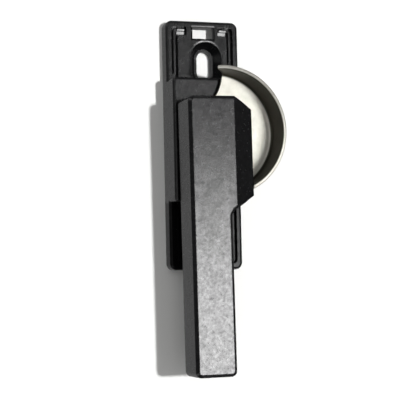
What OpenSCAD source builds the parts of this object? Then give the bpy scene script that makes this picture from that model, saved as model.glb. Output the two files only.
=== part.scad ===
// Crescent sash lock with a die-cast base, a lever handle, a pressed steel crescent
// and a square detent cam between two leaf springs.
// The mounting face is Z = 0 and +Z points away from the sash stile.
// +Y runs up the stile, +X points to the crescent, and the pivot is the Z axis.

/* [Base] */
// Width of the base
base_w = 22; // [21:0.5:26]
// Length of the base
base_l = 72.2; // [71:0.2:84]
// Height of the flat ends of the base
base_h = 4.1; // [3.6:0.1:5]
// Radius of the base's corners in plan
base_corner_r = 2; // [1:0.1:4]
// Radius along the base's front edges
base_edge_r = 0.8; // [0.2:0.05:1]
// How far the middle of the base lies below the pivot
base_drop = 1; // [0:0.1:2]

/* [Housing] */
// Length of the raised housing, which is as wide as the base
housing_l = 35.6; // [34.5:0.1:37]
// Height of the housing's front face
housing_h = 10; // [9.6:0.1:11]
// Thickness of the housing's side and end walls
housing_wall = 2.1; // [1.8:0.1:2.4]
// Thickness of the housing's front wall
housing_front = 2.6; // [2:0.1:3]
// Radius along the housing's front edges
housing_edge_r = 0.8; // [0.2:0.1:1]
// Radius of the housing's corners in plan
housing_corner_r = 1; // [1:0.1:1.6]
// How far the housing's upper end leans out over its foot, where an end cover tucks in
housing_lean = 0.9; // [0:0.1:1]
// Outer radius of the boss round the bush
boss_r = 7.8; // [7.4:0.1:8.2]

/* [Screw slots] */
// Distance between the middles of the two screw slots
slot_spacing = 46.8; // [46:0.1:50]
// How far the screw slots lie towards the crescent
slot_x = 1.1; // [-2:0.1:2]
// Width of a screw slot
slot_w = 4.2; // [3.2:0.1:5]
// Length of a screw slot from end to end
slot_l = 8.2; // [6:0.1:9]
// Width of the drafted recess for the screw head at the base's front
seat_w = 9.4; // [8:0.1:10]
// Width of the recess at its floor
seat_floor_w = 5.8; // [5.4:0.1:7.5]
// Depth of the recess
seat_depth = 2.7; // [1:0.1:3]

/* [Cover clips] */
// Width of the window for a clip-on end cover
window_w = 6.5; // [5:0.1:8]
// Height of the window
window_l = 3.3; // [2.5:0.1:4]
// Distance from the end of the base to the middle of the window
window_inset = 3.5; // [3:0.1:4]
// How far the window lies towards the crescent
window_x = 0.3; // [-1:0.1:1]
// Thickness of the skin round the window that the cover's hooks catch behind
window_skin = 1.2; // [0.8:0.1:2]
// How far the pocket behind the skin is wider than the window on each side
window_undercut = 0.7; // [0.3:0.1:0.8]
// Distance from the base's side to the locating grooves
groove_inset = 1.6; // [1.2:0.1:2]
// Distance from the base's end to the locating grooves
groove_end = 1.7; // [1.5:0.05:2.2]
// Width of the outer groove
outer_groove = 0.7; // [0.5:0.05:0.9]
// Width of the inner groove along the sides
inner_groove = 0.6; // [0.5:0.05:0.9]
// Width of the inner groove along the end
inner_groove_end = 1.15; // [0.8:0.05:1.5]
// Width of the rib between the grooves
groove_rib = 0.6; // [0.3:0.05:0.8]
// Depth of the grooves
groove_depth = 1.3; // [0.6:0.1:2]
// Depth of the rib's crest below the base's front
rib_drop = 0.25; // [0.05:0.05:0.6]
// Distance from the housing to the end of the rib
rib_stop = 1.8; // [1:0.1:4]
// Distance from the bridge to the end of the rib
rib_gap = 0.5; // [0.2:0.1:1]
// Slope of the rib's crest and the grooves' floors along the end
groove_slope = 11; // [0:1:15]
// Radius of the outer groove's corner in plan
groove_corner_r = 1.3; // [1:0.1:2]
// Width of the plain bridge between the grooves at the window
bridge_w = 9.6; // [8.5:0.1:12]

/* [Pivot] */
// Radius of the spindle's journal
journal_r = 5.1; // [4.8:0.1:5.4]
// Width across the flats of the spindle's squares
square_w = 6.8; // [5:0.1:7]
// Wall of the plastic bush
bush_wall = 1.35; // [1:0.05:1.6]
// Depth of the bush behind the housing's front face
bush_depth = 4.4; // [4:0.1:4.8]
// Radius of the bush's flange
flange_r = 8.2; // [7:0.1:9]
// Thickness of the bush's flange
flange_t = 0.45; // [0.3:0.05:0.7]
// How far the spindle's square reaches into the handle
socket_depth = 6; // [4:0.1:7]

/* [Detent and stop] */
// Width across the flats of the detent cam
cam_w = 12.6; // [11:0.1:13]
// Thickness of the detent cam
cam_t = 1.8; // [1.4:0.1:2]
// Radius across the rounded corners of the detent cam
cam_corner_r = 8; // [7:0.1:8.3]
// Thickness of a leaf spring
leaf_t = 0.6; // [0.3:0.1:0.8]
// Width of a leaf spring along the pivot
leaf_w = 1.6; // [1.2:0.1:1.8]
// How far a leaf spring's ends reach into the end walls
leaf_hold = 1; // [0.6:0.1:1.4]
// Thickness of the stop washer
stop_t = 0.7; // [0.5:0.1:0.9]
// Radius of the stop washer
stop_r = 6.3; // [6:0.1:6.6]
// Radius that the stop washer's tab reaches to
tab_r = 8.5; // [8:0.1:8.7]
// Width of the tab
tab_w = 4; // [3:0.1:5]
// Radius of a stop pin
stop_pin_r = 1.5; // [1:0.1:1.7]
// Thickness of the disc spring's metal
disc_t = 0.35; // [0.2:0.05:0.4]
// Height of the disc spring
disc_h = 0.55; // [0.5:0.05:0.6]
// Radius of the disc spring and the thrust washer
washer_r = 6.5; // [6.2:0.1:6.8]
// Thickness of the thrust washer
thrust_t = 0.5; // [0.3:0.1:0.6]

/* [Fasteners] */
// Radius of the spindle screw's shank
screw_r = 2; // [1.5:0.1:2.2]
// Radius of the spindle screw's head
screw_head_r = 3.8; // [3.4:0.1:4.2]
// Height of the spindle screw's head
screw_head_h = 1.2; // [0.8:0.1:1.4]
// How far the spindle screw reaches past its square into the handle
screw_reach = 2; // [1:0.1:3]
// Length of the cross recess in the spindle screw's head
cross_l = 4.6; // [3:0.1:5]
// Width of the cross recess
cross_w = 0.8; // [0.5:0.1:1]
// Depth of the cross recess
cross_depth = 0.85; // [0.4:0.05:1]
// Thickness of the lock washer under the head
lock_washer_t = 0.4; // [0.3:0.1:0.5]
// Thickness of the back plate
plate_t = 1; // [0.6:0.1:1.2]
// Clearance of the back plate's hole round the spindle screw's head
plate_clear = 1; // [0.5:0.1:1.5]
// Width of the shoulder that the back plate rests on
plate_ledge = 1; // [0.6:0.1:1.2]
// Radius of a back plate rivet
rivet_r = 1; // [0.8:0.1:1.2]
// Radius of a rivet's head
rivet_head_r = 1.7; // [1.5:0.1:2]
// Height of a rivet's head
rivet_head_h = 0.5; // [0.3:0.05:0.55]
// Distance of a rivet from the middle line of the base
rivet_x = 3.3; // [3:0.1:3.6]
// Radius of a crescent screw's shank
crescent_screw_r = 1.25; // [1:0.05:1.5]
// Radius of a crescent screw's head
crescent_screw_head_r = 2.2; // [1.8:0.1:2.5]
// Distance of a crescent screw from the pivot
crescent_screw_at = 6.7; // [6.4:0.1:7]
// Angle at which the first crescent screw stands round the pivot, the other being opposite
crescent_screw_turn = 135; // [125:1:145]

/* [Crescent] */
// Outer radius of the crescent's rim
rim_r = 18.3; // [17:0.1:20]
// Thickness of the crescent's sheet
sheet_t = 1.2; // [0.8:0.1:1.4]
// Height of the rim above the sheet's back
rim_h = 9.7; // [7:0.1:9.9]
// Inner bend radius between the sheet and the rim
bend_r = 1.1; // [0.6:0.1:2]
// How far the rim's centre lies from the pivot towards the crescent, which draws the sashes up
rim_x = 1; // [0:0.1:2]
// How far the rim's centre lies above the pivot
rim_y = 1.6; // [0:0.1:2.5]
// Angle of the rim's leading end where it meets the sheet
lead_angle = 82; // [70:1:90]
// Slant of the leading end, which runs on at the lip
lead_slant = 27; // [0:1:35]
// Radius of the sheet round the pivot
hub_r = 9.3; // [9:0.1:9.8]
// Radius of the hollow edge between the hub and the leading end
hollow_r = 12.5; // [10:0.1:13.5]
// How far the hollow's centre lies above the leading end
hollow_rise = 0.8; // [0:0.1:1.5]

/* [Handle] */
// Length of the handle above the pivot
handle_top = 11.1; // [10:0.1:13]
// Length of the handle below the pivot
handle_tail = 66.9; // [55:0.1:80]
// Thickness of the handle
handle_t = 9.9; // [9:0.1:12]
// Width of the grip
grip_w = 12; // [10:0.1:14]
// How far the grip's left side lies from the pivot
grip_left = 10.2; // [10:0.1:11]
// How far the head's right side lies from the pivot
head_right = 8.85; // [8.6:0.05:9.2]
// How far the head reaches below the pivot before it narrows to the grip
head_tail = 16.8; // [14:0.1:20]
// Width of the sloping shoulders at the head's right corners
shoulder_w = 5.4; // [4:0.1:6]
// Length of the upper shoulder
shoulder_top = 3.7; // [2:0.1:5]
// Length of the lower shoulder
shoulder_low = 4.7; // [3:0.1:8]
// Width of the sloping facet down the head's right side
facet_w = 5.75; // [3:0.05:7]
// Depth of the facet at its outer edge
facet_drop = 2; // [0.5:0.1:4]
// Width and depth of the chamfer along the handle's front edges
handle_chamfer = 0.85; // [0.4:0.05:0.95]
// Radius of the grip's corners in plan
grip_corner_r = 1.7; // [1.2:0.1:3]
// Width of the gusset in the hollow corner where the head narrows to the grip
gusset_w = 0.8; // [0.4:0.1:1.5]
// Wall left round the cored back of the grip
core_wall = 2.2; // [1.6:0.1:3]
// Radius of the cells' corners in plan
core_corner_r = 0.8; // [0.4:0.1:1.2]
// Depth of the core in the grip's back
core_depth = 6.8; // [3:0.1:7.4]
// Number of cells in the cored back
core_cells = 4; // [2:1:6]
// Thickness of the ribs between the cells
core_rib = 1.4; // [1:0.1:2]
// How far the handle stands turned from the base's line when locked
handle_set = 0.5; // [0:0.1:2]

/* [Clearances] */
// Radial clearance of the journal in its bush
running_clear = 0.05; // [0.02:0.01:0.1]
// Clearance between faces that turn past each other
turning_gap = 0.05; // [0.03:0.01:0.1]
// Clearance of pieces that are only slid into place
slide_clear = 0.1; // [0.05:0.01:0.15]
// Clearance of a pin or a screw shank in its hole
hole_clear = 0.03; // [0.01:0.01:0.05]
// Gap between the end of the rim and the handle's head
rim_gap = 0.05; // [0.05:0.05:0.8]

/* [Hidden] */
$fn = 72;

// Amount by which a cutting shape runs past the face that it cuts
past = 1;
// Small amount by which the cutting shapes along a front edge run over it
brim = 0.1;

base_mid = -base_drop;
half_w = base_w / 2;
half_housing = housing_l / 2;
cavity_w = base_w - 2 * housing_wall;
cavity_l = housing_l - 2 * housing_wall;
cavity_top = housing_h - housing_front;
plate_w = cavity_w + 2 * plate_ledge;
plate_l = cavity_l + 2 * plate_ledge;
plate_back = rivet_head_h + slide_clear;
plate_front = plate_back + plate_t;

// Heights of the pieces on the spindle, from the front of the housing to the back
bush_r = journal_r + running_clear + bush_wall;
bush_back = housing_h - bush_depth;
thrust_back = bush_back - thrust_t;
disc_front = thrust_back - turning_gap;
stop_front = disc_front - disc_h;
stop_back = stop_front - stop_t;
cam_back = stop_back - cam_t;
screw_seat = cam_back - lock_washer_t;
plate_hole_r = screw_head_r + plate_clear;
sheet_back = housing_h + flange_t + turning_gap;
sheet_front = sheet_back + sheet_t;
socket_top = sheet_front + socket_depth;
screw_tip = socket_top + screw_reach;
handle_front = sheet_front + handle_t;

// The leaf springs lie against the cam's flats and are held in the end walls
leaf_x = cam_w / 2 + turning_gap;
leaf_l = cavity_l + 2 * leaf_hold - 2 * slide_clear;
leaf_mid = cam_back + cam_t / 2;
rivet_y = cavity_l / 2 - rivet_head_r - slide_clear;

// The tab points down when locked, and the pins stop it there and half a turn on
stop_pin_x = tab_w / 2 + stop_pin_r + slide_clear;
stop_pin_y = tab_r - stop_pin_r / 2;
stop_pin_back = stop_back + slide_clear;
stop_pin_front = cavity_top + housing_front / 2;

rim_in = rim_r - sheet_t;
lip = sheet_back + rim_h;
hollow_x = rim_x + rim_in * cos(lead_angle) - hollow_r;
hollow_y = rim_y + rim_in * sin(lead_angle) + hollow_rise;
rim_tail_x = head_right + rim_gap;
grip_right = grip_w - grip_left;
core_top = -head_tail - shoulder_low - core_wall;
core_bottom = -handle_tail + core_wall;
core_pitch = (core_top - core_bottom + core_rib) / core_cells;

// An outline is a list of corners [x, y, r], run through anticlockwise
function box_corners(low, high, r) =
    [[low.x, low.y, r], [high.x, low.y, r], [high.x, high.y, r], [low.x, high.y, r]];
function unit(v) = v / norm(v);
function bearing(v) = atan2(v.y, v.x);
function corner_at(corners, i) = let (n = len(corners), c = corners[(i + n) % n]) [c.x, c.y];
function to_before(corners, i) = unit(corner_at(corners, i - 1) - corner_at(corners, i));
function to_after(corners, i) = unit(corner_at(corners, i + 1) - corner_at(corners, i));
function half_angle(corners, i) = acos(to_before(corners, i) * to_after(corners, i)) / 2;
function is_hollow(corners, i) = cross(-to_before(corners, i), to_after(corners, i)) < 0;
function overrun(corners, i) = corners[i].z > 0 ? 0 : past;

// Middle and ends of the arc that rounds a corner
function arc_mid(corners, i) =
    let (inward = unit(to_before(corners, i) + to_after(corners, i)))
    corner_at(corners, i) + inward * corners[i].z / sin(half_angle(corners, i));
function arc_start(corners, i) =
    corner_at(corners, i) + to_before(corners, i) * corners[i].z / tan(half_angle(corners, i));
function arc_end(corners, i) =
    corner_at(corners, i) + to_after(corners, i) * corners[i].z / tan(half_angle(corners, i));

// Outline with an arc at each corner that has a radius
module outline_2d(corners) {
    arcs = [for (i = [0:len(corners) - 1]) if (corners[i].z > 0) i];
    difference() {
        union() {
            polygon([for (c = corners) [c.x, c.y]]);
            for (i = arcs) if (is_hollow(corners, i)) corner_piece_2d(corners, i);
        }
        for (i = arcs) if (!is_hollow(corners, i)) corner_piece_2d(corners, i);
    }
}

// The piece between an outline's sharp corner and its arc
module corner_piece_2d(corners, i) {
    difference() {
        polygon([corner_at(corners, i), arc_end(corners, i), arc_mid(corners, i), arc_start(corners, i)]);
        translate(arc_mid(corners, i)) circle(corners[i].z);
    }
}

// Slab without hollow corners, its front edges rounded or chamfered all the way round
module eased_slab(corners, z0, z1, edge, chamfered) {
    n = len(corners);
    difference() {
        along_z(z0, z1) outline_2d(corners);
        for (i = [0:n - 1]) {
            eased_side(corners, i, (i + 1) % n) edge_waste_2d(z1, edge, chamfered);
            if (corners[i].z > 0) eased_corner(corners, i) edge_waste_2d(z1, edge, chamfered);
        }
    }
}

// Runs the section of an edge's waste along the side from one corner to the next
module eased_side(corners, i, j) {
    from = arc_end(corners, i);
    to = arc_start(corners, j);
    translate([from.x, from.y, 0]) rotate([0, 0, bearing(to - from)])
        along_x(-overrun(corners, i), norm(to - from) + overrun(corners, j)) children();
}

// Runs the section of an edge's waste round a corner
module eased_corner(corners, i) {
    mid = arc_mid(corners, i);
    translate([mid.x, mid.y, 0]) rotate([0, 0, bearing(arc_start(corners, i) - mid)])
        rotate_extrude(angle = 180 - 2 * half_angle(corners, i))
            translate([corners[i].z, 0]) mirror([1, 0]) children();
}

// Section of what is taken off a front edge, with the edge at X = 0 and the solid towards +X
module edge_waste_2d(z1, edge, chamfered) {
    if (chamfered) {
        polygon([[-brim, z1 - edge - brim], [edge + brim, z1 + brim], [-brim, z1 + brim]]);
    } else difference() {
        translate([-brim, z1 - edge]) square(edge + brim);
        translate([edge, z1 - edge]) circle(edge);
    }
}

// Extrudes a section drawn in X and Z along Y
module along_y(y0, y1) {
    translate([0, y1, 0]) rotate([90, 0, 0]) linear_extrude(y1 - y0) children();
}

// Extrudes a section drawn in Y and Z along X
module along_x(x0, x1) {
    translate([x0, 0, 0]) rotate([90, 0, 90]) linear_extrude(x1 - x0) children();
}

// Extrudes an outline drawn in X and Y along Z
module along_z(z0, z1) {
    translate([0, 0, z0]) linear_extrude(z1 - z0) children();
}

// A slot with round ends along Y
module slot(w, l, z0, z1) {
    along_z(z0, z1) {
        square([w, l - w], center = true);
        for (side = [-1, 1]) translate([0, side * (l - w) / 2]) circle(w / 2);
    }
}

// A round hole or rod along the pivot's direction
module rod(r, z0, z1) {
    translate([0, 0, z0]) cylinder(r = r, h = z1 - z0);
}

// A square hole or bar along the pivot's direction
module square_bar(w, z0, z1) {
    translate([-w / 2, -w / 2, z0]) cube([w, w, z1 - z0]);
}

// A flat ring
module ring(r_in, r_out, z0, z1) {
    difference() {
        rod(r_out, z0, z1);
        rod(r_in, z0 - past, z1 + past);
    }
}

// Places the children at both ends of the base, mirrored about its middle
module both_ends() {
    translate([0, base_mid, 0]) {
        children();
        mirror([0, 1, 0]) children();
    }
}

// The locating grooves on the right side of an end, from the housing's foot round to the bridge
module end_grooves(foot) {
    floor_z = base_h - groove_depth;
    crest = base_h - rib_drop;
    y0 = base_l / 2 - groove_end - outer_groove;
    y1 = y0 - groove_rib;
    y2 = y1 - inner_groove_end;
    end_x = half_w - groove_inset - outer_groove - groove_rib - inner_groove;
    difference() {
        along_z(floor_z, base_h + past) grooves_2d(foot);
        along_x(0, end_x) polygon([
            [y2, floor_z], [y2, floor_z - past], [y1 + brim, floor_z - past],
            [y1 + brim, floor_z + (y1 + brim - y2) * tan(groove_slope)]
        ]);
    }
    along_z(crest, base_h + past) groove_rib_2d(foot);
    along_x(bridge_w / 2, end_x) polygon([
        [y0 + brim, crest], [y0 + brim, base_h + past], [y1 - brim, base_h + past],
        [y1 - brim, crest - (y0 - y1 + 2 * brim) * tan(groove_slope)]
    ]);
    along_x(bridge_w / 2, end_x) polygon([
        [y0, base_h], [y0, floor_z], [y0 + outer_groove, floor_z - outer_groove * tan(groove_slope)],
        [y0 + outer_groove, base_h]
    ]);
}

// Outline of the two grooves, with the rib between them left out
module grooves_2d(foot) {
    x = half_w - groove_inset;
    y = base_l / 2 - groove_end;
    across = outer_groove + groove_rib;
    inner_x = x - across - inner_groove;
    inner_y = y - across - inner_groove_end;
    start = bridge_w / 2;
    difference() {
        outline_2d([[start, foot, 0], [x, foot, 0], [x, y, groove_corner_r], [start, y, 0]]);
        outline_2d([
            [0, foot - past, 0], [inner_x, foot - past, 0],
            [inner_x, inner_y, groove_corner_r / 2], [0, inner_y, 0]
        ]);
        groove_rib_2d(foot);
    }
}

// The rib between the grooves turns the corner with them and stops short at both ends
module groove_rib_2d(foot) {
    x = half_w - groove_inset - outer_groove;
    y = base_l / 2 - groove_end - outer_groove;
    start = bridge_w / 2 + rib_gap;
    tip_r = groove_rib / 3;
    outline_2d([
        [x - groove_rib, foot + rib_stop, tip_r], [x, foot + rib_stop, tip_r],
        [x, y, groove_corner_r - outer_groove / 2], [start, y, tip_r], [start, y - groove_rib, tip_r],
        [x - groove_rib, y - groove_rib, groove_corner_r / 2]
    ]);
}

// Flat part of the base, with its screw slots
module base_plate() {
    y0 = base_mid - base_l / 2;
    y1 = base_mid + base_l / 2;
    difference() {
        eased_slab(box_corners([-half_w, y0], [half_w, y1], base_corner_r), 0, base_h, base_edge_r, false);
        both_ends() translate([slot_x, slot_spacing / 2, 0]) {
            slot(slot_w, slot_l, -past, base_h);
            head_recess();
        }
    }
}

// Drafted recess round a screw slot for the head of its screw
module head_recess() {
    low = base_h - seat_depth;
    high = base_h + past;
    r0 = seat_floor_w / 2;
    r1 = r0 + (seat_w - seat_floor_w) / 2 * (high - low) / seat_depth;
    travel = (slot_l - slot_w) / 2;
    along_y(-travel, travel) polygon([[-r0, low], [r0, low], [r1, high], [-r1, high]]);
    for (y = [-travel, travel]) translate([0, y, low]) cylinder(r1 = r0, r2 = r1, h = high - low);
}

// Raised housing before it is hollowed, leaning out at its upper end
module housing_blank() {
    lean_top = housing_h - housing_edge_r * 1.5;
    corners = box_corners([-half_w, -half_housing], [half_w, half_housing], housing_corner_r);
    difference() {
        eased_slab(corners, 0, housing_h, housing_edge_r, false);
        along_x(-half_w - past, half_w + past) polygon([
            [half_housing - housing_lean, base_h], [half_housing + past, base_h],
            [half_housing + past, lean_top], [half_housing, lean_top]
        ]);
    }
}

// Window at an end of the base, with a wider pocket behind its skin for the cover's hooks
module clip_window() {
    pocket = [window_w, window_l] + 2 * [window_undercut, window_undercut];
    translate([window_x, base_l / 2 - window_inset, 0]) {
        along_z(0, base_h + past) square([window_w, window_l], center = true);
        along_z(-past, base_h - window_skin) square(pocket, center = true);
    }
}

// Hollow back of the housing, with the boss and the rivet posts left standing
module housing_hollow() {
    difference() {
        along_z(plate_front, cavity_top) square([cavity_w, cavity_l], center = true);
        rod(boss_r, bush_back, housing_h);
        at_rivets() rod(rivet_head_r, plate_front - past, housing_h);
    }
    along_z(-past, plate_front + slide_clear / 2) square([plate_w, plate_l], center = true);
}

// Places the children at the four back plate rivets
module at_rivets() {
    for (x = [-rivet_x, rivet_x], y = [-rivet_y, rivet_y]) translate([x, y, 0]) children();
}

// Places the children at the two stop pins
module at_stop_pins() {
    for (side = [-1, 1]) translate([stop_pin_x, side * stop_pin_y, 0]) children();
}

// Turns the children to where the handle stands when locked
module set_turn() {
    rotate([0, 0, handle_set]) children();
}

module base_casting() color([0.16, 0.16, 0.17]) {
    difference() {
        union() {
            base_plate();
            housing_blank();
        }
        housing_hollow();
        rod(bush_r + hole_clear, bush_back - past, housing_h + past);
        at_rivets() rod(rivet_r + hole_clear, -past, cavity_top);
        at_stop_pins() rod(stop_pin_r + hole_clear, bush_back - past, stop_pin_front);
        for (side = [-1, 1]) leaf_spring_hole(side);
        both_ends() clip_window();
        for (side = [0, 1]) mirror([side, 0, 0]) translate([0, base_mid, 0]) {
            end_grooves(half_housing + base_drop);
            mirror([0, 1, 0]) end_grooves(half_housing - base_drop);
        }
    }
}

// Recess in the end walls that holds a leaf spring's ends
module leaf_spring_hole(side) {
    w = leaf_t + 2 * slide_clear;
    x = side * (leaf_x + leaf_t / 2);
    translate([x - w / 2, -cavity_l / 2 - leaf_hold, plate_front - past])
        cube([w, cavity_l + 2 * leaf_hold, leaf_mid + leaf_w / 2 + slide_clear - plate_front + past]);
}

module pivot_bush() color([0.85, 0.84, 0.8]) {
    difference() {
        union() {
            rod(bush_r, bush_back, housing_h);
            rod(flange_r, housing_h, housing_h + flange_t);
        }
        rod(journal_r + running_clear, bush_back - past, housing_h + flange_t + past);
    }
}

module thrust_washer() color("silver") {
    ring(journal_r + slide_clear, washer_r, thrust_back, bush_back);
}

module stop_pins() color("silver") {
    at_stop_pins() rod(stop_pin_r, stop_pin_back, stop_pin_front);
}

// A leaf spring lies along a flat of the cam
module leaf_spring(side) {
    x = side * (leaf_x + leaf_t / 2);
    translate([x - leaf_t / 2, -leaf_l / 2, leaf_mid - leaf_w / 2]) cube([leaf_t, leaf_l, leaf_w]);
}

module leaf_spring_left() color([0.6, 0.61, 0.64]) leaf_spring(-1);

module leaf_spring_right() color([0.6, 0.61, 0.64]) leaf_spring(1);

module back_plate() color([0.72, 0.73, 0.74]) {
    difference() {
        translate([0, 0, plate_back]) linear_extrude(plate_t)
            square([plate_w - 2 * slide_clear, plate_l - 2 * slide_clear], center = true);
        rod(plate_hole_r, 0, housing_h);
        at_rivets() rod(rivet_r + hole_clear, 0, housing_h);
    }
}

module plate_rivets() color("silver") {
    at_rivets() {
        rod(rivet_head_r, plate_back - rivet_head_h, plate_back);
        rod(rivet_r, plate_back - rivet_head_h, cavity_top - slide_clear);
    }
}

module spindle() color([0.66, 0.67, 0.69]) {
    difference() {
        union() {
            square_bar(square_w, cam_back, socket_top);
            rod(journal_r, stop_front, sheet_back);
        }
        rod(screw_r + slide_clear, cam_back - past, socket_top + past);
    }
}

// A cone of spring steel between the stop washer and the thrust washer
module disc_spring() color([0.5, 0.52, 0.55]) {
    r_in = journal_r + slide_clear;
    rotate_extrude() polygon([
        [r_in, stop_front], [r_in + disc_t, stop_front],
        [washer_r, disc_front - disc_t], [washer_r, disc_front],
        [washer_r - disc_t, disc_front], [r_in, stop_front + disc_t]
    ]);
}

module stop_washer() color([0.7, 0.71, 0.72]) {
    difference() {
        union() {
            rod(stop_r, stop_back, stop_front);
            intersection() {
                rod(tab_r, stop_back, stop_front);
                translate([-tab_w / 2, -tab_r, stop_back]) cube([tab_w, tab_r, stop_t]);
            }
        }
        square_bar(square_w + 2 * hole_clear, stop_back - past, stop_front + past);
    }
}

module detent_cam() color([0.75, 0.75, 0.72]) {
    difference() {
        intersection() {
            square_bar(cam_w, cam_back, stop_back);
            rod(cam_corner_r, cam_back, stop_back);
        }
        square_bar(square_w + 2 * hole_clear, cam_back - past, stop_back + past);
    }
}

module lock_washer() color("silver") {
    ring(screw_r + slide_clear, screw_head_r, screw_seat, cam_back);
}

module spindle_screw() color([0.62, 0.63, 0.65]) {
    difference() {
        union() {
            rod(screw_head_r, screw_seat - screw_head_h, screw_seat);
            rod(screw_r, screw_seat, screw_tip);
        }
        for (turn = [0, 90]) rotate([0, 0, turn])
            translate([-cross_l / 2, -cross_w / 2, screw_seat - screw_head_h - past])
                cube([cross_l, cross_w, cross_depth + past]);
    }
}

// Section of the crescent's bent edge, from its sheet round the bend to the lip
module rim_section_2d() {
    bend_out = bend_r + sheet_t;
    translate([rim_in, sheet_back + bend_out]) square([sheet_t, lip - sheet_back - bend_out - sheet_t / 2]);
    translate([rim_in + sheet_t / 2, lip - sheet_t / 2]) circle(sheet_t / 2);
    intersection() {
        translate([rim_r - bend_out, sheet_back + bend_out]) difference() {
            circle(bend_out);
            circle(bend_r);
        }
        translate([rim_r - bend_out, sheet_back]) square(bend_out);
    }
    translate([rim_r - bend_out - past, sheet_back]) square([past, sheet_t]);
}

// Outline of the flat sheet: a hub, and the half disc inside the rim with hollow edges
module sheet_outline_2d() {
    difference() {
        union() {
            circle(hub_r);
            intersection() {
                translate([rim_x, rim_y]) circle(rim_r - bend_r - sheet_t);
                translate([0, -rim_r * 2]) square([rim_r * 2, rim_r * 4]);
            }
        }
        translate([hollow_x, hollow_y]) circle(hollow_r);
        translate([hollow_x, 2 * rim_y - hollow_y]) circle(hollow_r);
    }
}

module crescent() color([0.86, 0.85, 0.81]) {
    difference() {
        set_turn() {
            along_z(sheet_back, sheet_front) sheet_outline_2d();
            difference() {
                translate([rim_x, rim_y, 0]) rotate([0, 0, -90]) rotate_extrude(angle = 180 + lead_slant)
                    rim_section_2d();
                crescent_end_cuts();
            }
        }
        square_bar(square_w + 2 * hole_clear, sheet_back - past, sheet_front + past);
        at_crescent_screws() crescent_screw_shape(hole_clear);
    }
}

// The leading end is cut on a slant, and the tail end stops short of the handle's head
module crescent_end_cuts() {
    reach = rim_r * 2;
    translate([rim_x, rim_y, sheet_front]) rotate([0, 0, lead_angle]) rotate([-lead_slant, 0, 0])
        translate([0, 0, -reach]) cube([reach, reach, 2 * reach]);
    translate([-reach, -2 * reach, sheet_front]) cube([reach + rim_tail_x, 2 * reach, reach]);
}

// Places the children at the two screws that hold the crescent to the handle
module at_crescent_screws() {
    for (turn = [0, 180]) rotate([0, 0, crescent_screw_turn + turn])
        translate([crescent_screw_at, 0, 0]) children();
}

// A countersunk screw, flush with the back of the sheet
module crescent_screw_shape(extra) {
    cone_h = crescent_screw_head_r - crescent_screw_r;
    translate([0, 0, sheet_back])
        cylinder(r1 = crescent_screw_head_r + extra, r2 = crescent_screw_r + extra, h = cone_h);
    rod(crescent_screw_r + extra, sheet_back, sheet_front + socket_depth + extra);
}

module crescent_screws() color("silver") {
    at_crescent_screws() crescent_screw_shape(0);
}

// Handle before its facet and its holes: the grip, the wider head with its sloping shoulders,
// and a gusset across the hollow corner between them
module handle_blank() {
    mid_x = grip_right - grip_w / 2;
    waist_y = -head_tail - shoulder_low;
    slope = shoulder_low / (head_right - grip_right);
    along = unit([gusset_w, gusset_w * (1 + slope)]) * grip_w / 4;
    low = [grip_right, waist_y - gusset_w] - along;
    high = [grip_right + gusset_w, waist_y + gusset_w * slope] + along;
    handle_slab([
        [-grip_left, -handle_tail, grip_corner_r], [grip_right, -handle_tail, grip_corner_r],
        [grip_right, handle_top, 0], [-grip_left, handle_top, grip_corner_r]
    ]);
    handle_slab([
        [mid_x, waist_y - (grip_right - mid_x) * slope, 0], [head_right, -head_tail, 0],
        [head_right, handle_top - shoulder_top, 0], [head_right - shoulder_w, handle_top, 0],
        [mid_x, handle_top, 0]
    ]);
    handle_slab([
        [low.x, low.y, 0], [high.x, high.y, 0], [mid_x + past, high.y, 0], [mid_x + past, low.y, 0]
    ]);
}

// A piece of the handle's full thickness with chamfered front edges
module handle_slab(corners) {
    eased_slab(corners, sheet_front, handle_front, handle_chamfer, true);
}

// What the facet takes off the head's right side
module facet_waste() {
    x = head_right - facet_w;
    edge_x = head_right + past;
    edge_z = handle_front - facet_drop * (facet_w + past) / facet_w;
    above = handle_front + past;
    along_y(-head_tail - shoulder_low - past, handle_top + past)
        polygon([[x, handle_front], [edge_x, edge_z], [edge_x, above], [x, above]]);
}

// Cells cored out of the grip's back, with ribs left between them
module grip_core() {
    for (i = [0:core_cells - 1]) {
        y0 = core_bottom + i * core_pitch;
        low = [-grip_left + core_wall, y0];
        high = [grip_right - core_wall, y0 + core_pitch - core_rib];
        along_z(sheet_front - past, sheet_front + core_depth)
            outline_2d(box_corners(low, high, core_corner_r));
    }
}

module handle() color([0.2, 0.2, 0.21]) {
    difference() {
        set_turn() difference() {
            handle_blank();
            facet_waste();
            grip_core();
        }
        square_bar(square_w + 2 * hole_clear, sheet_front - past, socket_top + slide_clear);
        rod(screw_r + hole_clear, socket_top, screw_tip + slide_clear);
        at_crescent_screws() crescent_screw_shape(hole_clear);
    }
}

base_casting();
pivot_bush();
thrust_washer();
stop_pins();
leaf_spring_left();
leaf_spring_right();
back_plate();
plate_rivets();
spindle();
disc_spring();
stop_washer();
detent_cam();
lock_washer();
spindle_screw();
crescent();
crescent_screws();
handle();
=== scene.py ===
"""Looks of a crescent sash lock: black enamelled castings and a satin plated crescent."""

import logging
import math
from dataclasses import dataclass
from enum import Enum
from typing import Any

import bpy
from bpy.types import Material, Node, NodeSocket, NodeTree
from mathutils import Matrix, Vector

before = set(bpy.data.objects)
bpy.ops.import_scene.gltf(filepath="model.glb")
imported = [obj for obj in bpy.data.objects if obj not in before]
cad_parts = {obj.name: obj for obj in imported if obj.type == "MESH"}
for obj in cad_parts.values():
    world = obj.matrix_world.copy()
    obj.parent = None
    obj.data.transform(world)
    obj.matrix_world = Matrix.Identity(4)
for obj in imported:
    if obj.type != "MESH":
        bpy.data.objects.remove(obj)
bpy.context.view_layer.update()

log = logging.getLogger("crescent_lock")

MM = 0.001

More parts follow.
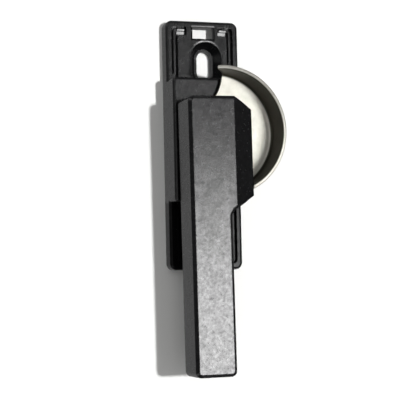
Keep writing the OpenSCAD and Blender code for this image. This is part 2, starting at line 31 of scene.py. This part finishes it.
# Nearly all values of a noise texture lie between these two.
NOISE_LOW = 0.3
NOISE_HIGH = 0.7

# Rays that feel out each rounded edge.
EDGE_SAMPLES = 8

# The front of the base's plate lies just below this height in millimetres.
PLATE_TOP = 4.2


class Softening(Enum):
    """How a piece's edges were broken, with the radius that this leaves in millimetres."""

    CAST = 0.3
    FINE_CAST = 0.12
    PRESSED = 0.1
    TURNED = 0.06


def linear(hex_colour: str) -> tuple[float, float, float, float]:
    """Turns an sRGB hex colour into linear light.

    Args:
        hex_colour: Colour such as "#1a1b1c".

    Returns:
        Red, green, blue and alpha from 0 to 1.
    """
    channels = [int(hex_colour[i:i + 2], 16) / 255 for i in (1, 3, 5)]
    red, green, blue = [c / 12.92 if c <= 0.04045 else ((c + 0.055) / 1.055) ** 2.4 for c in channels]
    return (red, green, blue, 1.0)


def per_metre(size_mm: float) -> float:
    """Scale of a texture whose features repeat about every size_mm millimetres."""
    return 1.0 / (size_mm * MM)


def add_node(tree: NodeTree, kind: str, inputs: dict[Any, Any], **settings: Any) -> Node:
    """Adds a node, sets it up and links it.

    Args:
        tree: Node tree that gets the node.
        kind: Blender's name of the node type.
        inputs: Value or source socket for each input, by the input's name or number.
        settings: Attributes to set on the node.

    Returns:
        The new node.
    """
    node = tree.nodes.new(kind)
    for name, value in settings.items():
        setattr(node, name, value)
    for name, value in inputs.items():
        if isinstance(value, NodeSocket):
            tree.links.new(value, node.inputs[name])
        else:
            node.inputs[name].default_value = value
    return node


def new_material(name: str) -> tuple[Material, NodeTree, NodeSocket]:
    """Starts an empty material.

    Args:
        name: Name of the material.

    Returns:
        The material, its node tree and the coordinates of the piece in metres.
    """
    material = bpy.data.materials.new(name)
    material.use_nodes = True
    tree = material.node_tree
    tree.nodes.clear()
    place = add_node(tree, "ShaderNodeTexCoord", {})
    return material, tree, place.outputs["Object"]


def finish_material(tree: NodeTree, inputs: dict[Any, Any]) -> None:
    """Ends a material with its shader and output.

    Args:
        tree: Node tree of the material.
        inputs: Values and sources for the shader's inputs.
    """
    shader = add_node(tree, "ShaderNodeBsdfPrincipled", inputs)
    add_node(tree, "ShaderNodeOutputMaterial", {"Surface": shader.outputs["BSDF"]})


def distance_outside(
    tree: NodeTree, place: NodeSocket, centre: tuple[float, float], half: tuple[float, float],
) -> NodeSocket:
    """Measures how far a point lies outside a box as high as the base's plate.

    Args:
        tree: Node tree of the material.
        place: Coordinates of the piece in metres.
        centre: Centre of the box in plan, in millimetres.
        half: Half its length along X and Y, in millimetres.

    Returns:
        The distance in metres, 0 inside the box.
    """
    middle = Vector((*centre, 0.0)) * MM
    reach = Vector((*half, PLATE_TOP)) * MM
    offset = add_node(tree, "ShaderNodeVectorMath", {0: place, 1: middle}, operation="SUBTRACT")
    mirrored = add_node(tree, "ShaderNodeVectorMath", {0: offset.outputs["Vector"]}, operation="ABSOLUTE")
    beyond = add_node(
        tree, "ShaderNodeVectorMath", {0: mirrored.outputs["Vector"], 1: reach}, operation="SUBTRACT")
    outside = add_node(
        tree, "ShaderNodeVectorMath", {0: beyond.outputs["Vector"], 1: (0.0, 0.0, 0.0)},
        operation="MAXIMUM",
    )
    away = add_node(tree, "ShaderNodeVectorMath", {0: outside.outputs["Vector"]}, operation="LENGTH")
    return away.outputs["Value"]


@dataclass(frozen=True)
class PaintedShadePatch:
    """A place on the base where the enamel's gloss is cut, as painted shade that darkens its reflections,
    in millimetres.
    """

    centre: tuple[float, float]
    half: tuple[float, float]
    gloss: float
    fade: float = 0.6

    def kept_gloss(self, tree: NodeTree, place: NodeSocket) -> NodeSocket:
        """Finds the share of the gloss that a point keeps.

        Args:
            tree: Node tree of the material.
            place: Coordinates of the piece in metres.

        Returns:
            The share, 1 away from the patch.
        """
        away = distance_outside(tree, place, self.centre, self.half)
        kept = add_node(
            tree, "ShaderNodeMapRange", {"Value": away, "From Max": self.fade * MM, "To Min": self.gloss},
            interpolation_type="SMOOTHSTEP",
        )
        return kept.outputs["Result"]


@dataclass(frozen=True)
class RolledEdge:
    """The soft shoulder that a die leaves round an opening in the base's front, in millimetres."""

    centre: tuple[float, float]
    half: tuple[float, float]
    radius: float
    width: float = 0.6

    def height(self, tree: NodeTree, place: NodeSocket) -> NodeSocket:
        """Measures how far up the shoulder a point lies.

        Args:
            tree: Node tree of the material.
            place: Coordinates of the piece in metres.

        Returns:
            Height from 0 at the opening to 1 on the flat face.
        """
        away = distance_outside(tree, place, self.centre, self.half)
        rise = add_node(
            tree, "ShaderNodeMapRange",
            {"Value": away, "From Min": self.radius * MM, "From Max": (self.radius + self.width) * MM},
            interpolation_type="SMOOTHSTEP",
        )
        return rise.outputs["Result"]


@dataclass(frozen=True)
class BakedEnamel:
    """Black baked enamel on a zinc die casting.

    The sprayed coat dries with a faint orange peel, so it shows a broad satin gloss that is finely mottled.
    """

    name: str
    colour: str = "#080809"
    thin_colour: str = "#0d0d0e"
    ior: float = 1.4
    roughness: float = 0.235
    roughness_spread: float = 0.045
    gloss_low: float = 0.34
    gloss_high: float = 0.64
    peel_mm: float = 1.6
    peel_octaves: float = 4.0
    peel_raggedness: float = 0.7
    peel_height_mm: float = 0.014
    fleck_mm: float = 0.9
    # The real grain is finer. It is drawn as coarse as it needs to be to show.
    grain_mm: float = 0.3
    grain_height_mm: float = 0.002
    fine_octaves: float = 2.0
    fine_raggedness: float = 0.6
    softening: Softening = Softening.CAST
    edges: tuple[RolledEdge, ...] = ()
    edge_drop_mm: float = 0.06
    shade_patches: tuple[PaintedShadePatch, ...] = ()

    def make(self) -> Material:
        """Builds the enamel's material.

        Returns:
            The new material.
        """
        material, tree, place = new_material(self.name)
        peel = add_node(
            tree, "ShaderNodeTexNoise",
            {
                "Vector": place, "Scale": per_metre(self.peel_mm), "Detail": self.peel_octaves,
                "Roughness": self.peel_raggedness,
            },
        )
        fine = {"Vector": place, "Detail": self.fine_octaves, "Roughness": self.fine_raggedness}
        grain = add_node(tree, "ShaderNodeTexNoise", fine | {"Scale": per_metre(self.grain_mm)})
        fleck = add_node(tree, "ShaderNodeTexNoise", fine | {"Scale": per_metre(self.fleck_mm)})
        tone = add_node(
            tree, "ShaderNodeMix",
            {"Factor": peel.outputs["Fac"], "A": linear(self.colour), "B": linear(self.thin_colour)},
            data_type="RGBA",
        )
        roughness = add_node(
            tree, "ShaderNodeMapRange",
            {
                "Value": fleck.outputs["Fac"], "From Min": NOISE_LOW, "From Max": NOISE_HIGH,
                "To Min": self.roughness - self.roughness_spread,
                "To Max": self.roughness + self.roughness_spread,
            },
        )
        gloss = add_node(
            tree, "ShaderNodeMapRange",
            {
                "Value": peel.outputs["Fac"], "From Min": NOISE_LOW, "From Max": NOISE_HIGH,
                "To Min": self.gloss_low, "To Max": self.gloss_high,
            },
        )
        waves = add_node(
            tree, "ShaderNodeBump",
            {
                "Height": peel.outputs["Fac"], "Distance": self.peel_height_mm * MM, "Strength": 1.0,
                "Normal": self.roll_edges(tree, place),
            },
        )
        relief = add_node(
            tree, "ShaderNodeBump",
            {
                "Height": grain.outputs["Fac"], "Distance": self.grain_height_mm * MM, "Strength": 1.0,
                "Normal": waves.outputs["Normal"],
            },
        )
        finish_material(tree, {
            "Base Color": tone.outputs["Result"], "Roughness": roughness.outputs["Result"],
            "Normal": relief.outputs["Normal"], "IOR": self.ior,
            "Specular IOR Level": self.paint_patch_shade(tree, place, gloss.outputs["Result"]),
        })
        return material

    def paint_patch_shade(self, tree: NodeTree, place: NodeSocket, gloss: NodeSocket) -> NodeSocket:
        """Dulls the enamel's gloss in its patches of painted shade.

        Args:
            tree: Node tree of the material.
            place: Coordinates of the piece in metres.
            gloss: Gloss of the open faces.

        Returns:
            The gloss with the painted shade.
        """
        # Each patch paints shade by cutting the gloss there.
        for patch in self.shade_patches:
            kept = patch.kept_gloss(tree, place)
            dulled = add_node(tree, "ShaderNodeMath", {0: gloss, 1: kept}, operation="MULTIPLY")
            gloss = dulled.outputs["Value"]
        return gloss

    def roll_edges(self, tree: NodeTree, place: NodeSocket) -> NodeSocket:
        """Rounds the edges, with a wider shoulder round the listed openings.

        Args:
            tree: Node tree of the material.
            place: Coordinates of the piece in metres.

        Returns:
            The normal before the orange peel.
        """
        rounded = add_node(
            tree, "ShaderNodeBevel", {"Radius": self.softening.value * MM}, samples=EDGE_SAMPLES)
        normal = rounded.outputs["Normal"]
        for edge in self.edges:
            shoulder = add_node(
                tree, "ShaderNodeBump",
                {
                    "Height": edge.height(tree, place), "Distance": self.edge_drop_mm * MM, "Strength": 1.0,
                    "Normal": normal,
                },
            )
            normal = shoulder.outputs["Normal"]
        return normal


@dataclass(frozen=True)
class DrawnRim:
    """A rim that a press has drawn up round a centre, in millimetres.

    Its inside is painted shade: the faces that lean away from level are darkened. Its lip is dull towards
    the leading end, as where it rubs on the keeper.
    """

    centre: tuple[float, float]
    radius: float
    colour: str
    # The painted shade gives way to bright plate between these two depths in the sheet.
    depth: tuple[float, float] = (0.3, 0.7)
    # A face passes from wall to floor as its normal's Z goes from the first to the second.
    level: tuple[float, float] = (0.75, 0.99)
    lip_z: float = 20.0
    lip_rise: float = 0.1
    worn_colour: str = "#989690"
    worn_y: tuple[float, float] = (-2.0, 12.0)

    def paint_wall_shade(self, tree: NodeTree, place: NodeSocket, tone: NodeSocket) -> NodeSocket:
        """Paints shade on the inside of the rim, where its walls lean away from level.

        Args:
            tree: Node tree of the material.
            place: Coordinates of the piece in metres.
            tone: Colour of the level faces.

        Returns:
            The colour with the painted shade on the rim's inside.
        """
        facing = add_node(tree, "ShaderNodeTexCoord", {})
        lean = add_node(tree, "ShaderNodeSeparateXYZ", {"Vector": facing.outputs["Normal"]})
        upright = add_node(tree, "ShaderNodeMath", {0: lean.outputs["Z"]}, operation="ABSOLUTE")
        flat = add_node(
            tree, "ShaderNodeMapRange",
            {"Value": upright.outputs["Value"], "From Min": self.level[0], "From Max": self.level[1]},
            interpolation_type="SMOOTHSTEP",
        )
        middle = Vector((*self.centre, 0.0)) * MM
        offset = add_node(tree, "ShaderNodeVectorMath", {0: place, 1: middle}, operation="SUBTRACT")
        across = add_node(
            tree, "ShaderNodeVectorMath", {0: offset.outputs["Vector"], 1: (1.0, 1.0, 0.0)},
            operation="MULTIPLY",
        )
        away = add_node(tree, "ShaderNodeVectorMath", {0: across.outputs["Vector"]}, operation="LENGTH")
        outside = add_node(
            tree, "ShaderNodeMapRange",
            {
                "Value": away.outputs["Value"], "From Min": (self.radius + self.depth[0]) * MM,
                "From Max": (self.radius + self.depth[1]) * MM,
            },
        )
        bright = add_node(
            tree, "ShaderNodeMath", {0: flat.outputs["Result"], 1: outside.outputs["Result"]},
            operation="MAXIMUM",
        )
        # Painted shade: walls get the dark colour, while level faces and the outside keep the plate's tone.
        painted_wall_shade = add_node(
            tree, "ShaderNodeMix",
            {"Factor": bright.outputs["Value"], "A": linear(self.colour), "B": tone},
            data_type="RGBA",
        )
        return painted_wall_shade.outputs["Result"]

    def wear_lip(self, tree: NodeTree, place: NodeSocket, tone: NodeSocket) -> NodeSocket:
        """Dulls the rim's lip towards its leading end.

        Args:
            tree: Node tree of the material.
            place: Coordinates of the piece in metres.
            tone: Colour without wear.

        Returns:
            The colour with the worn lip.
        """
        spot = add_node(tree, "ShaderNodeSeparateXYZ", {"Vector": place})
        lip = add_node(
            tree, "ShaderNodeMapRange",
            {
                "Value": spot.outputs["Z"], "From Min": self.lip_z * MM,
                "From Max": (self.lip_z + self.lip_rise) * MM,
            },
        )
        lead = add_node(
            tree, "ShaderNodeMapRange",
            {
                "Value": spot.outputs["Y"], "From Min": self.worn_y[0] * MM,
                "From Max": self.worn_y[1] * MM, "To Max": lip.outputs["Result"],
            },
        )
        worn = add_node(
            tree, "ShaderNodeMix",
            {"Factor": lead.outputs["Result"], "A": tone, "B": linear(self.worn_colour)},
            data_type="RGBA",
        )
        return worn.outputs["Result"]


@dataclass(frozen=True)
class SteelFinish:
    """Steel, plated or bare, with the soft shine of metal, faint blotches and fine scuffs."""

    name: str
    colour: str
    dull_colour: str
    roughness: float
    softening: Softening = Softening.TURNED
    rim: DrawnRim | None = None
    roughness_spread: float = 0.06
    blotch_mm: float = 2.5
    blotch_octaves: float = 4.0
    blotch_raggedness: float = 0.6
    # Real scuffs are finer. They are drawn as coarse as they need to be to show.
    scuff_mm: float = 0.35
    scuff_octaves: float = 2.0
    scuff_raggedness: float = 0.65
    scuff_height_mm: float = 0.001

    def make(self) -> Material:
        """Builds the metal's material.

        Returns:
            The new material.
        """
        material, tree, place = new_material(self.name)
        blotch = add_node(
            tree, "ShaderNodeTexNoise",
            {
                "Vector": place, "Scale": per_metre(self.blotch_mm), "Detail": self.blotch_octaves,
                "Roughness": self.blotch_raggedness,
            },
        )
        scuff = add_node(
            tree, "ShaderNodeTexNoise",
            {
                "Vector": place, "Scale": per_metre(self.scuff_mm), "Detail": self.scuff_octaves,
                "Roughness": self.scuff_raggedness,
            },
        )
        blend = add_node(
            tree, "ShaderNodeMix",
            {"Factor": blotch.outputs["Fac"], "A": linear(self.colour), "B": linear(self.dull_colour)},
            data_type="RGBA",
        )
        tone = blend.outputs["Result"]
        if self.rim:
            # A drawn rim gets painted shade on its inner wall.
            tone = self.rim.paint_wall_shade(tree, place, tone)
            tone = self.rim.wear_lip(tree, place, tone)
        roughness = add_node(
            tree, "ShaderNodeMapRange",
            {
                "Value": blotch.outputs["Fac"], "To Min": self.roughness - self.roughness_spread,
                "To Max": self.roughness + self.roughness_spread,
            },
        )
        rounded = add_node(
            tree, "ShaderNodeBevel", {"Radius": self.softening.value * MM}, samples=EDGE_SAMPLES)
        relief = add_node(
            tree, "ShaderNodeBump",
            {
                "Height": scuff.outputs["Fac"], "Distance": self.scuff_height_mm * MM, "Strength": 1.0,
                "Normal": rounded.outputs["Normal"],
            },
        )
        finish_material(tree, {
            "Base Color": tone, "Metallic": 1.0, "Roughness": roughness.outputs["Result"],
            "Normal": relief.outputs["Normal"],
        })
        return material


@dataclass(frozen=True)
class MouldedAcetal:
    """White acetal, injection moulded: waxy and even, with a fine matt grain."""

    name: str = "moulded_acetal"
    colour: str = "#e6e3d8"
    shade: str = "#d8d4c6"
    ior: float = 1.48
    roughness: float = 0.42
    # The real grain is finer. It is drawn as coarse as it needs to be to show.
    grain_mm: float = 0.3
    grain_octaves: float = 2.0

    def make(self) -> Material:
        """Builds the acetal's material.

        Returns:
            The new material.
        """
        material, tree, place = new_material(self.name)
        grain = add_node(
            tree, "ShaderNodeTexNoise",
            {"Vector": place, "Scale": per_metre(self.grain_mm), "Detail": self.grain_octaves},
        )
        tone = add_node(
            tree, "ShaderNodeMix",
            {"Factor": grain.outputs["Fac"], "A": linear(self.colour), "B": linear(self.shade)},
            data_type="RGBA",
        )
        finish_material(
            tree, {"Base Color": tone.outputs["Result"], "Roughness": self.roughness, "IOR": self.ior})
        return material


@dataclass(frozen=True)
class PaintedBoard:
    """Board with a matt white paint: pale and even, with clouds that are hardly seen."""

    name: str = "painted_board"
    colour: str = "#f3f3f1"
    cloud_colour: str = "#f0f0ee"
    cloud_mm: float = 40.0
    roughness: float = 0.9

    def make(self) -> Material:
        """Builds the board's material.

        Returns:
            The new material.
        """
        material, tree, place = new_material(self.name)
        cloud = add_node(tree, "ShaderNodeTexNoise", {"Vector": place, "Scale": per_metre(self.cloud_mm)})
        tone = add_node(
            tree, "ShaderNodeMix",
            {"Factor": cloud.outputs["Fac"], "A": linear(self.colour), "B": linear(self.cloud_colour)},
            data_type="RGBA",
        )
        finish_material(tree, {"Base Color": tone.outputs["Result"], "Roughness": self.roughness})
        return material


@dataclass(frozen=True)
class LitPaper:
    """White paper with light on it: brightest at the floor, a little darker higher up."""

    height_m: float
    name: str = "lit_paper"
    colour: str = "#f4f4f2"
    light_at_floor: float = 1.0
    light_at_top: float = 0.8

    def make(self) -> Material:
        """Builds the paper's material.

        Returns:
            The new material.
        """
        material, tree, place = new_material(self.name)
        spot = add_node(tree, "ShaderNodeSeparateXYZ", {"Vector": place})
        light = add_node(
            tree, "ShaderNodeMapRange",
            {
                "Value": spot.outputs["Z"], "From Max": self.height_m, "To Min": self.light_at_floor,
                "To Max": self.light_at_top,
            },
        )
        paper = add_node(
            tree, "ShaderNodeEmission", {"Color": linear(self.colour), "Strength": light.outputs["Result"]})
        add_node(tree, "ShaderNodeOutputMaterial", {"Surface": paper.outputs["Emission"]})
        return material


def dress(node_name: str, material: Material) -> None:
    """Gives a CAD node one material.

    Args:
        node_name: Name of the CAD node.
        material: Its material.
    """
    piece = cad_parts[node_name]
    piece.data.materials.clear()
    piece.data.materials.append(material)
    log.info("%s is dressed in %s", piece.name, material.name)


@dataclass
class BaseUnit:
    """The base casting with what is fixed in it, in millimetres."""

    slots: tuple[tuple[float, float], ...] = ((1.1, 22.4), (1.1, -24.4))
    slot_half: tuple[float, float] = (0.0, 2.0)
    recess_radius: float = 4.7
    windows: tuple[tuple[float, float], ...] = ((0.3, 31.6), (0.3, -33.6))
    window_half: tuple[float, float] = (3.25, 1.65)
    # The gloss kept in the clip windows and behind the grip is painted shade over their reflections.
    window_gloss: float = 0.12
    end_behind_grip: tuple[float, float] = (0.0, -27.7)
    end_half: tuple[float, float] = (12.0, 9.7)
    end_gloss: float = 0.25
    peel_height: float = 0.01
    grain_height: float = 0.001
    # Zinc plate is a cool silver with faint clouds.
    zinc: SteelFinish = SteelFinish("zinc_plate", "#c9cdd0", "#a9adb0", 0.32)
    # Spring steel is darker, with a blue cast.
    spring: SteelFinish = SteelFinish("spring_steel", "#8f959c", "#70757b", 0.35)
    acetal: MouldedAcetal = MouldedAcetal()

    def enamel(self) -> BakedEnamel:
        """Chooses the casting's enamel.

        Returns:
            Enamel with soft shoulders round the openings, with painted shade that dulls its gloss in the
            clip windows and behind the grip.
        """
        shoulders = [RolledEdge(centre, self.slot_half, self.recess_radius) for centre in self.slots]
        shoulders += [RolledEdge(centre, self.window_half, radius=0.0) for centre in self.windows]
        patches = [PaintedShadePatch(centre, self.window_half, self.window_gloss) for centre in self.windows]
        patches.append(PaintedShadePatch(self.end_behind_grip, self.end_half, self.end_gloss))
        return BakedEnamel(
            "baked_enamel_base", peel_height_mm=self.peel_height, grain_height_mm=self.grain_height,
            softening=Softening.FINE_CAST, edges=tuple(shoulders), shade_patches=tuple(patches),
        )

    def build(self) -> None:
        """Dresses the casting and every piece that stays with it."""
        dress("base_casting", self.enamel().make())
        zinc = self.zinc.make()
        for name in ("back_plate", "plate_rivets", "stop_pins", "thrust_washer"):
            dress(name, zinc)
        spring = self.spring.make()
        for name in ("leaf_spring_left", "leaf_spring_right"):
            dress(name, spring)
        dress("pivot_bush", self.acetal.make())


@dataclass
class PivotStack:
    """The spindle and the pieces that turn on its squares."""

    # Drawn steel is bright and even.
    bright: SteelFinish = SteelFinish("drawn_steel", "#b9bcc0", "#9a9da1", 0.3)
    # Sintered steel is a dull warm grey, because its pores scatter the light.
    sintered: SteelFinish = SteelFinish("sintered_steel", "#8a8984", "#6d6c68", 0.5)

    def build(self) -> None:
        """Dresses the stack from the spindle back to its screw."""
        bright = self.bright.make()
        for name in ("spindle", "stop_washer", "disc_spring", "lock_washer", "spindle_screw"):
            dress(name, bright)
        dress("detent_cam", self.sintered.make())


@dataclass
class CrescentUnit:
    """The pressed crescent with the screws that hold it."""

    # Satin nickel plate is a pale, warm metal with a wide and soft shine.
    plate: SteelFinish = SteelFinish(
        "satin_nickel_plate", "#e6e4dc", "#c9c7bd", 0.62, Softening.PRESSED,
        # The rim's dark colour is painted shade on its inner wall.
        DrawnRim(centre=(1.0, 1.6), radius=17.1, colour="#4c4a42"),
    )
    # Zinc plate is a cool silver with faint clouds.
    zinc: SteelFinish = SteelFinish("zinc_screw", "#c9cdd0", "#a9adb0", 0.32)

    def build(self) -> None:
        """Dresses the crescent and its screws."""
        dress("crescent", self.plate.make())
        dress("crescent_screws", self.zinc.make())


@dataclass
class HandleUnit:
    """The lever handle."""

    enamel: BakedEnamel = BakedEnamel("baked_enamel_handle")

    def build(self) -> None:
        """Dresses the handle."""
        dress("handle", self.enamel.make())


@dataclass(frozen=True)
class Lamp:
    """A round lamp that faces the lock, with the surfaces that it acts on."""

    name: str
    towards: tuple[float, float, float]
    distance_m: float
    size_m: float
    power_w: float
    on_matt: bool = True
    on_gloss: bool = True

    def add(self) -> None:
        """Hangs the lamp in the studio."""
        data = bpy.data.lights.new(self.name, "AREA")
        data.shape = "DISK"
        data.size = self.size_m
        data.energy = self.power_w
        lamp = bpy.data.objects.new(self.name, data)
        towards = Vector(self.towards).normalized()
        lamp.location = towards * self.distance_m
        lamp.rotation_mode = "QUATERNION"
        lamp.rotation_quaternion = towards.to_track_quat("Z", "Y")
        lamp.visible_diffuse = self.on_matt
        lamp.visible_glossy = self.on_gloss
        lamp.visible_camera = False
        bpy.context.scene.collection.objects.link(lamp)


@dataclass
class Studio:
    """Floor, light and camera."""

    focal_px: float = 1410.0
    image_px: float = 400.0
    sensor_mm: float = 36.0
    clip_start_m: float = 0.01
    yaw_deg: float = 18.77
    pitch_deg: float = -3.41
    roll_deg: float = 1.25
    pivot_in_view_mm: tuple[float, float, float] = (-0.04, 16.68, -412.1)
    floor_radius_m: float = 6.0
    floor_sides: int = 64
    floor_gap_mm: float = 0.05
    backdrop_share: float = 0.98
    backdrop_sides: int = 96
    # The room is dim, with a glow from below the horizon that ends towards +X.
    room_light: float = 0.15
    low_light: float = 0.38
    low_band: tuple[float, float] = (-0.15, 0.05)
    dark_side: tuple[float, float] = (0.45, 0.75)
    key: Lamp = Lamp("key_lamp", (0.234, 0.0, 1.0), 3.0, 0.15, 80.0, on_gloss=False)
    fill: Lamp = Lamp("fill_lamp", (-0.3, 0.0, 0.95), 1.5, 3.0, 11.0)
    sheen: Lamp = Lamp("sheen_panel", (0.33, -0.11, 0.93), 1.0, 0.3, 6.6, on_matt=False)
    box_towards: tuple[float, float, float] = (0.65, 0.6, 0.45)
    box_distance_m: float = 1.3
    box_size_m: float = 0.7
    box_power_w: float = 3.0

    def boxes(self) -> list[Lamp]:
        """Places four soft boxes round the lock, which only gloss shows.

        Returns:
            The boxes, left ones first.
        """
        across, along, up = self.box_towards
        return [
            Lamp(
                f"box_{depth}_{side}", (x, y, up), self.box_distance_m, self.box_size_m, self.box_power_w,
                on_matt=False,
            )
            for side, x in (("left", -across), ("right", across))
            for depth, y in (("near", -along), ("far", along))
        ]

    def add_camera(self) -> None:
        """Places the camera as the photograph was taken."""
        turn = (
            Matrix.Rotation(math.radians(self.roll_deg), 4, "Z")
            @ Matrix.Rotation(math.radians(self.pitch_deg), 4, "X")
            @ Matrix.Rotation(math.radians(self.yaw_deg), 4, "Y")
        )
        move = Matrix.Translation(Vector(self.pivot_in_view_mm) * MM)
        data = bpy.data.cameras.new("photo_camera")
        data.sensor_width = self.sensor_mm
        data.lens = self.focal_px / self.image_px * self.sensor_mm
        data.clip_start = self.clip_start_m
        camera = bpy.data.objects.new("photo_camera", data)
        camera.matrix_world = (move @ turn).inverted()
        bpy.context.scene.collection.objects.link(camera)
        bpy.context.scene.camera = camera

    def add_floor(self) -> None:
        """Lays a pale floor under the lock, which gloss doesn't show."""
        bpy.ops.mesh.primitive_circle_add(
            vertices=self.floor_sides, radius=self.floor_radius_m, fill_type="NGON")
        floor = bpy.context.object
        floor.name = "floor"
        floor.location.z = -self.floor_gap_mm * MM
        floor.data.materials.append(PaintedBoard().make())
        floor.visible_glossy = False

    def add_backdrop(self) -> None:
        """Stands a pale wall far behind the lock, which only a camera near the floor sees."""
        bpy.ops.mesh.primitive_cylinder_add(
            vertices=self.backdrop_sides, radius=self.floor_radius_m * self.backdrop_share,
            depth=2 * self.floor_radius_m, end_fill_type="NOTHING",
        )
        wall = bpy.context.object
        wall.name = "backdrop"
        wall.data.materials.append(LitPaper(self.floor_radius_m).make())
        wall.visible_diffuse = False
        wall.visible_glossy = False
        wall.visible_shadow = False

    def add_light(self) -> None:
        """Hangs the lamps and lights the dim room."""
        for lamp in (self.key, self.fill, self.sheen, *self.boxes()):
            lamp.add()
        world = bpy.data.worlds.new("studio")
        world.use_nodes = True
        tree = world.node_tree
        tree.nodes.clear()
        place = add_node(tree, "ShaderNodeTexCoord", {})
        towards = add_node(tree, "ShaderNodeSeparateXYZ", {"Vector": place.outputs["Generated"]})
        below = add_node(
            tree, "ShaderNodeMapRange",
            {
                "Value": towards.outputs["Z"], "From Min": self.low_band[0], "From Max": self.low_band[1],
                "To Min": self.low_light, "To Max": 0.0,
            },
            interpolation_type="SMOOTHSTEP",
        )
        lit = add_node(
            tree, "ShaderNodeMapRange",
            {
                "Value": towards.outputs["X"], "From Min": self.dark_side[0], "From Max": self.dark_side[1],
                "To Min": 1.0, "To Max": 0.0,
            },
            interpolation_type="SMOOTHSTEP",
        )
        light = add_node(
            tree, "ShaderNodeMath",
            {0: below.outputs["Result"], 1: lit.outputs["Result"], 2: self.room_light},
            operation="MULTIPLY_ADD",
        )
        sky = add_node(tree, "ShaderNodeBackground", {"Strength": light.outputs["Value"]})
        add_node(tree, "ShaderNodeOutputWorld", {"Surface": sky.outputs["Background"]})
        bpy.context.scene.world = world
        bpy.context.scene.view_settings.view_transform = "Standard"

    def build(self) -> None:
        """Sets up the whole stage."""
        self.add_camera()
        self.add_floor()
        self.add_backdrop()
        self.add_light()


def main() -> None:
    """Builds the lock's looks in order."""
    logging.basicConfig(level=logging.INFO, format="%(name)s: %(message)s")
    Studio().build()
    for unit in (BaseUnit(), PivotStack(), CrescentUnit(), HandleUnit()):
        unit.build()


if __name__ == "__main__":
    main()
